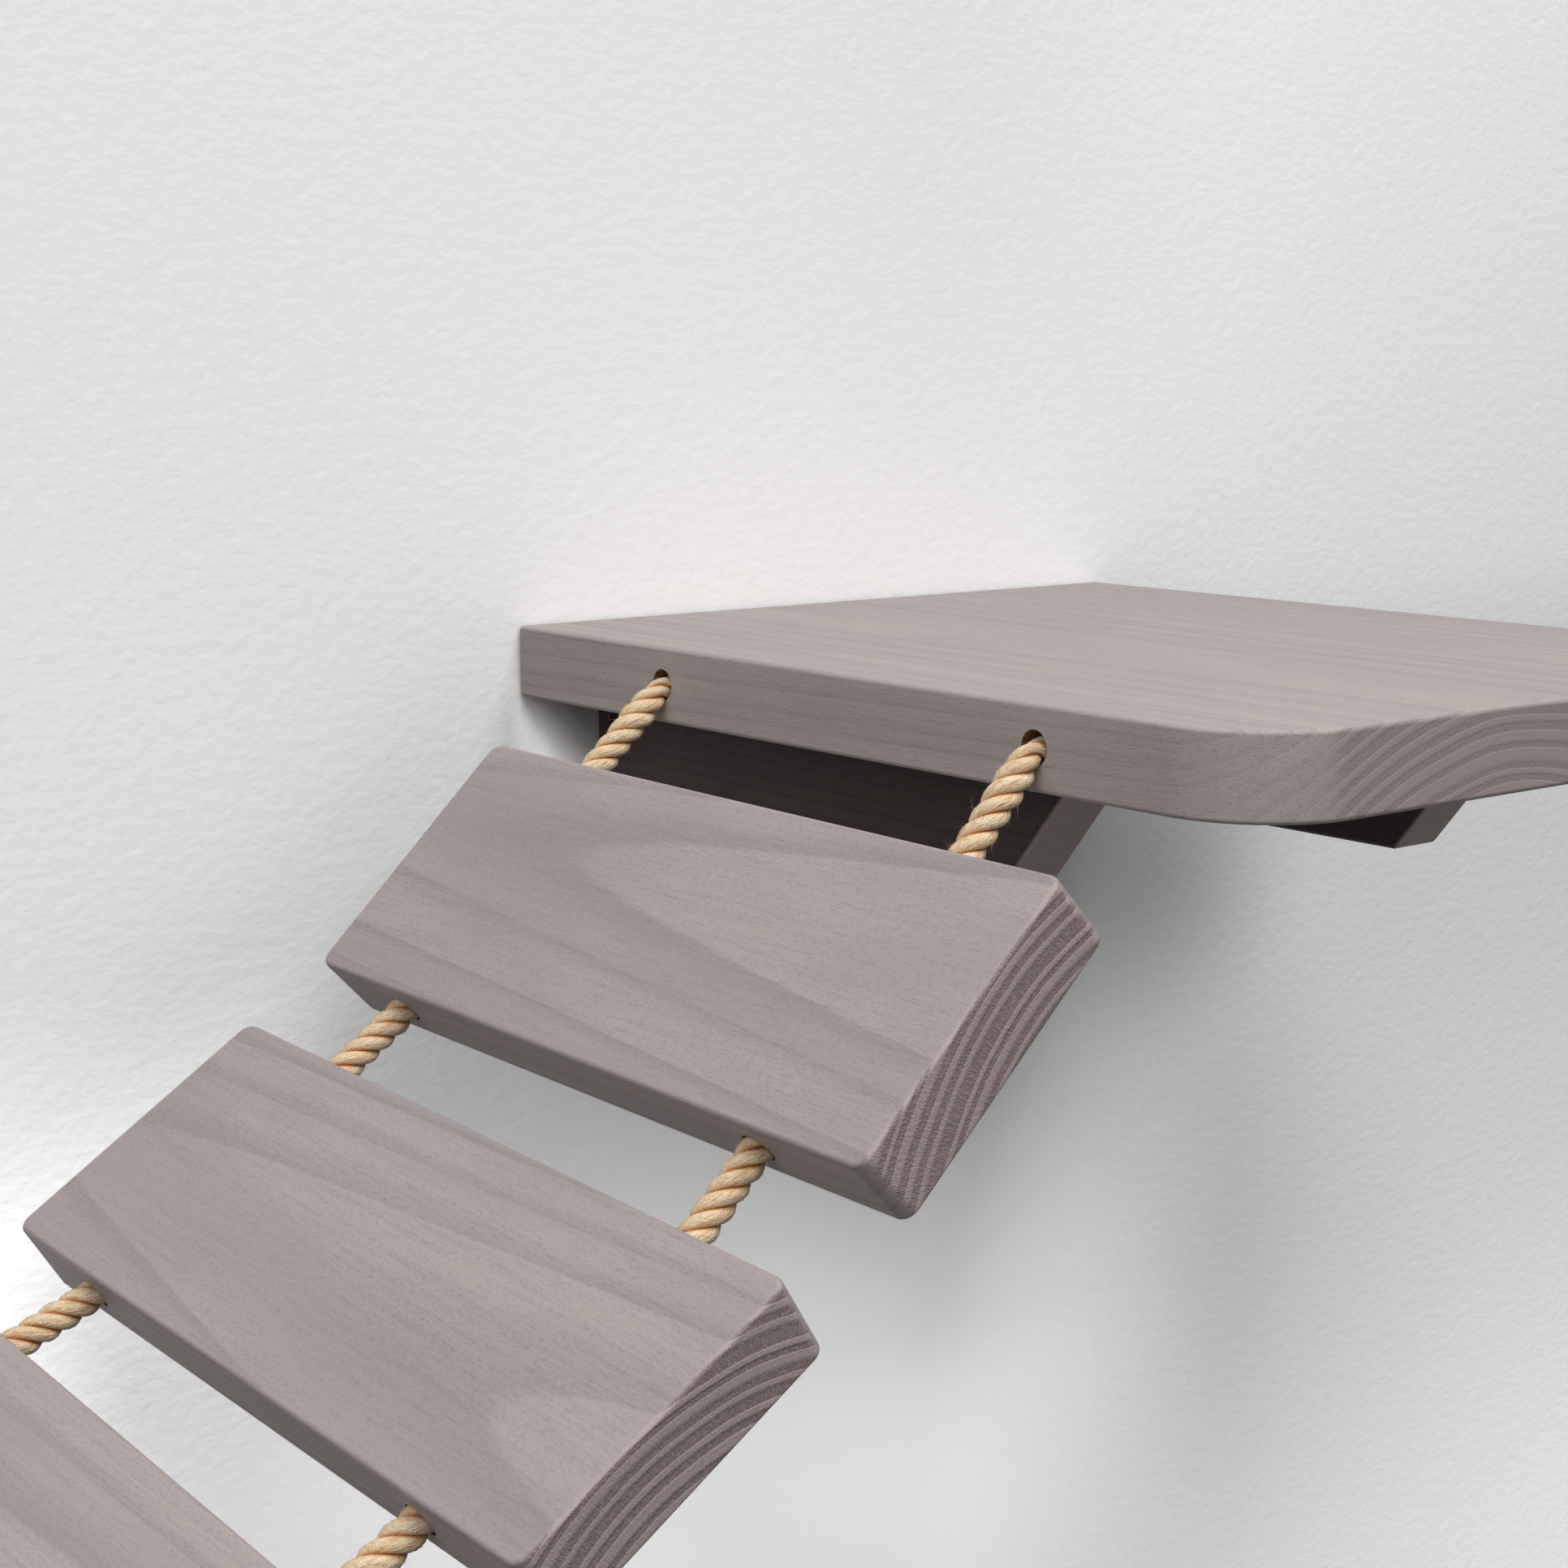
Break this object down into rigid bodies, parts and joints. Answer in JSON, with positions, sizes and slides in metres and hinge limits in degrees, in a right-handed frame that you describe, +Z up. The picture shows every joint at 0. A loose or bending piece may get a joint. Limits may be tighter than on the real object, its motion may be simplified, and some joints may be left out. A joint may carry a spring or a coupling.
{
  "type": "cat wall bridge",
  "caption": "Hanging cat bridge of wooden planks threaded on two ropes between two bracketed wall shelves.",
  "frame": {"origin": "centre of the right-hand rail's back face, on the wall", "axes": "+Y points into the wall and the room is at -Y, +X along the wall to the right as seen from the room, +Z up"},
  "size_m": [1.2024, 0.355, 0.2209],
  "materials": {
    "grey_pine_board": "grey stained softwood, matt, lightly sanded",
    "grey_pine_plank": "grey stained softwood, matt, rough end grain",
    "grey_pine_support": "grey stained softwood, matt",
    "beech_dowel": "bare hardwood",
    "zinc_screw": "zinc plated, satin",
    "jute_rope": "laid jute, golden tan, slightly hairy"
  },
  "bodies": {
    "shelves": {"shelf_board_right": "grey_pine_board", "shelf_board_left": "grey_pine_board", "bracket_right_inner": "grey_pine_support", "bracket_right_outer": "grey_pine_support", "bracket_left_inner": "grey_pine_support", "bracket_left_outer": "grey_pine_support", "wall_rail_right": "grey_pine_support", "wall_rail_left": "grey_pine_support", "wall_screw_right_1": "zinc_screw", "wall_screw_right_2": "zinc_screw", "wall_screw_left_1": "zinc_screw", "wall_screw_left_2": "zinc_screw", "bracket_screw_right_inner_lower": "zinc_screw", "bracket_screw_right_inner_upper": "zinc_screw", "bracket_screw_right_outer_lower": "zinc_screw", "bracket_screw_right_outer_upper": "zinc_screw", "bracket_screw_left_inner_lower": "zinc_screw", "bracket_screw_left_inner_upper": "zinc_screw", "bracket_screw_left_outer_lower": "zinc_screw", "bracket_screw_left_outer_upper": "zinc_screw", "dowel_right_inner_back": "beech_dowel", "dowel_right_inner_front": "beech_dowel", "dowel_right_outer_back": "beech_dowel", "dowel_right_outer_front": "beech_dowel", "dowel_left_inner_back": "beech_dowel", "dowel_left_inner_front": "beech_dowel", "dowel_left_outer_back": "beech_dowel", "dowel_left_outer_front": "beech_dowel", "rope_end_right_back": "jute_rope", "rope_end_right_front": "jute_rope", "rope_end_left_back": "jute_rope", "rope_end_left_front": "jute_rope", "rope_pin_right_back": "zinc_screw", "rope_pin_right_front": "zinc_screw", "rope_pin_left_back": "zinc_screw", "rope_pin_left_front": "zinc_screw"},
    "first_plank": {"plank_1": "grey_pine_plank", "rope_back_plank_1": "jute_rope", "rope_front_plank_1": "jute_rope"},
    "second_plank": {"plank_2": "grey_pine_plank", "rope_back_plank_2": "jute_rope", "rope_front_plank_2": "jute_rope"},
    "third_plank": {"plank_3": "grey_pine_plank", "rope_back_plank_3": "jute_rope", "rope_front_plank_3": "jute_rope"},
    "fourth_plank": {"plank_4": "grey_pine_plank", "rope_back_plank_4": "jute_rope", "rope_front_plank_4": "jute_rope"},
    "fifth_plank": {"plank_5": "grey_pine_plank", "rope_back_plank_5": "jute_rope", "rope_front_plank_5": "jute_rope"},
    "sixth_plank": {"plank_6": "grey_pine_plank", "rope_back_plank_6": "jute_rope", "rope_front_plank_6": "jute_rope"},
    "seventh_plank": {"plank_7": "grey_pine_plank", "rope_back_plank_7": "jute_rope", "rope_front_plank_7": "jute_rope"}
  },
  "joints": [
    {"name": "right_shelf_swing", "type": "hinge", "parent": "shelves", "child": "first_plank", "pos_m": [-0.1275, -0.1535, 0.0313], "axis": [0, 1, 0], "range_deg": [-5, 5]},
    {"name": "first_to_second", "type": "hinge", "parent": "first_plank", "child": "second_plank", "pos_m": [-0.22195, -0.1535, -0.0614], "axis": [-0.0203, 0.9994, 0.0282], "range_deg": [-3.1, 3.1]},
    {"name": "second_to_third", "type": "hinge", "parent": "second_plank", "child": "third_plank", "pos_m": [-0.31541, -0.1535, -0.12094], "axis": [-0.0256, 0.998, 0.0587], "range_deg": [-5, 5]},
    {"name": "third_to_fourth", "type": "hinge", "parent": "third_plank", "child": "fourth_plank", "pos_m": [-0.4209, -0.1535, -0.15449], "axis": [-0.012, 0.9965, 0.0827], "range_deg": [-2.73, 2.73]},
    {"name": "left_shelf_swing", "type": "hinge", "parent": "shelves", "child": "seventh_plank", "pos_m": [-0.82494, -0.1535, 0.0313], "axis": [0, 1, 0], "range_deg": [-5, 5]},
    {"name": "seventh_to_sixth", "type": "hinge", "parent": "seventh_plank", "child": "sixth_plank", "pos_m": [-0.73049, -0.1535, -0.0614], "axis": [0.0203, 0.9994, 0.0282], "range_deg": [-3.1, 3.1]},
    {"name": "sixth_to_fifth", "type": "hinge", "parent": "sixth_plank", "child": "fifth_plank", "pos_m": [-0.63703, -0.1535, -0.12094], "axis": [0.0256, 0.998, 0.0587], "range_deg": [-5, 5]}
  ],
  "couplings": [
    {"joint": "first_to_second", "follows": "right_shelf_swing", "ratio": -0.62},
    {"joint": "second_to_third", "follows": "right_shelf_swing", "ratio": -1},
    {"joint": "third_to_fourth", "follows": "right_shelf_swing", "ratio": -0.545},
    {"joint": "left_shelf_swing", "follows": "right_shelf_swing", "ratio": 1},
    {"joint": "seventh_to_sixth", "follows": "right_shelf_swing", "ratio": -0.62},
    {"joint": "sixth_to_fifth", "follows": "right_shelf_swing", "ratio": -1}
  ]
}
